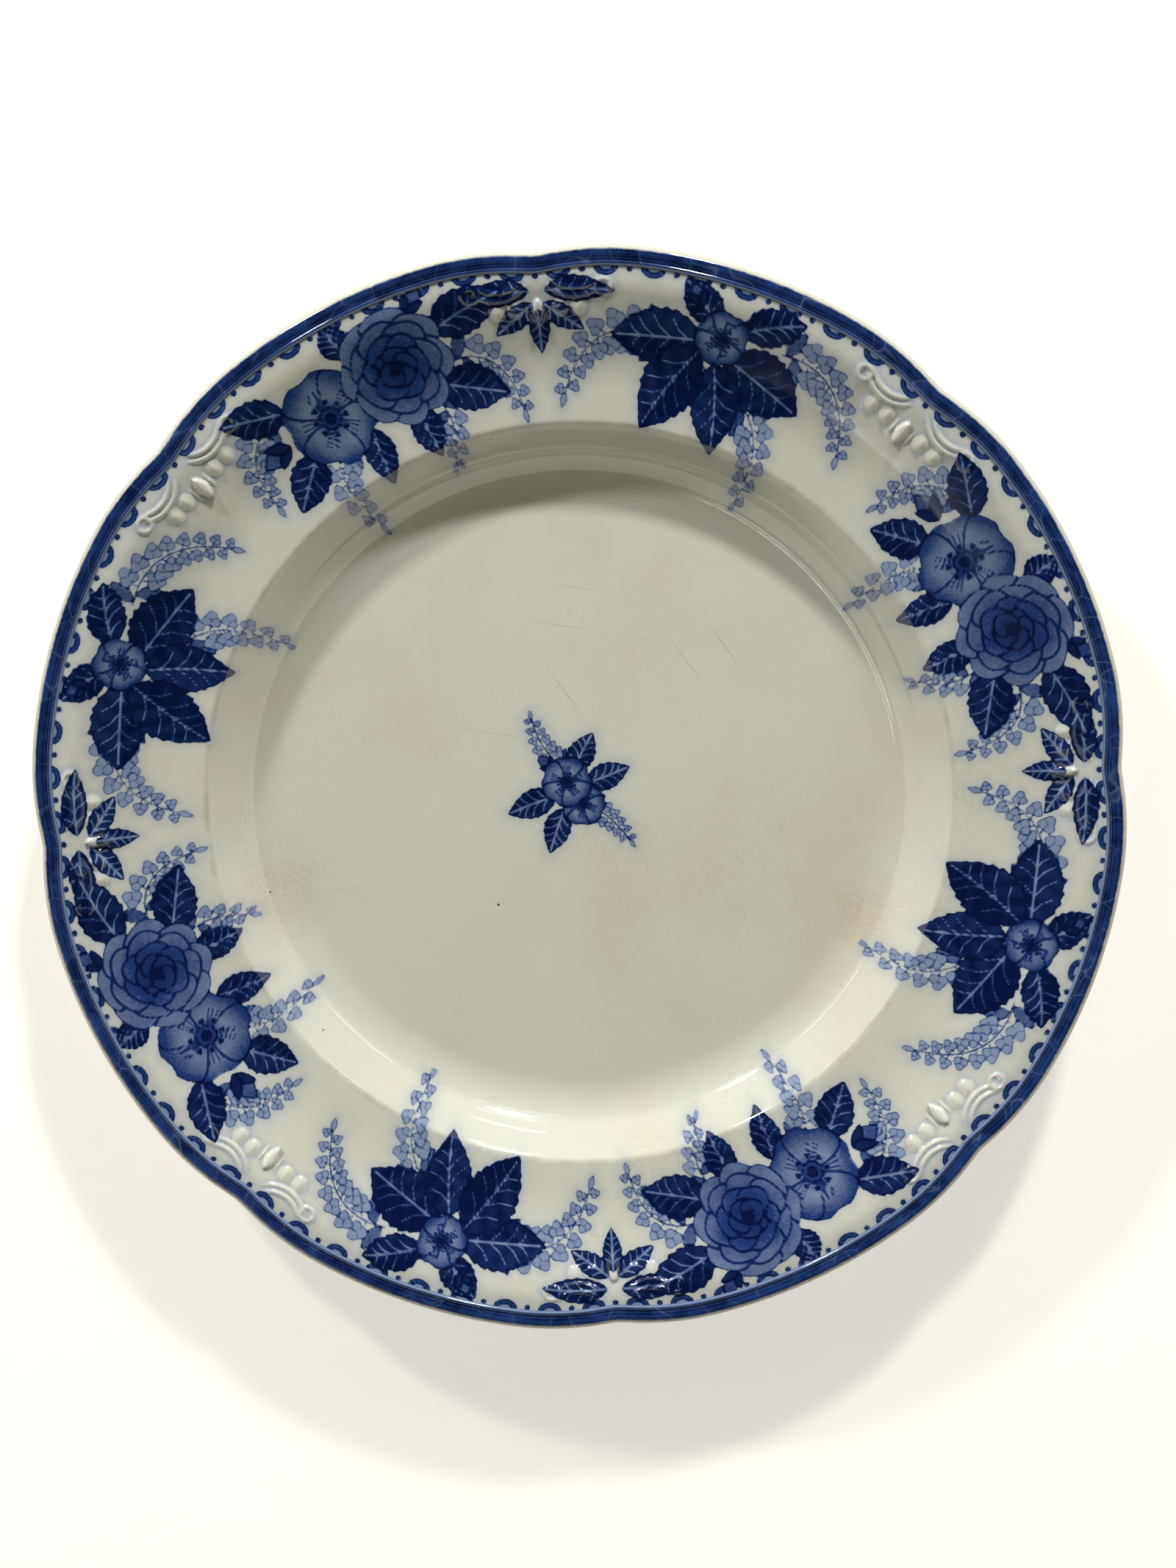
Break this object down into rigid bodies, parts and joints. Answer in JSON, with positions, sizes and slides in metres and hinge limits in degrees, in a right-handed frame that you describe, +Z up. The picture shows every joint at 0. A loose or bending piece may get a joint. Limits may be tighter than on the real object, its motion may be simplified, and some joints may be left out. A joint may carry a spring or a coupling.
{
  "type": "dinner plate",
  "caption": "Round dinner plate with a deep well, a broad sloping rim and a lobed edge with moulded scrolls at its notches.",
  "frame": {"origin": "centre of the foot ring's resting face, on the table", "axes": "+Z up out of the well, +X through a notch of the lobed edge"},
  "size_m": [0.2578, 0.2578, 0.0285],
  "materials": {
    "glazed_body": "glossy ivory glaze over blue print",
    "cobalt_edge": "cobalt blue under glossy glaze"
  },
  "bodies": {
    "root": {"plate_body": "glazed_body", "foot_ring": "glazed_body", "edge_band": "cobalt_edge", "rim_ornaments": "glazed_body"}
  },
  "joints": []
}
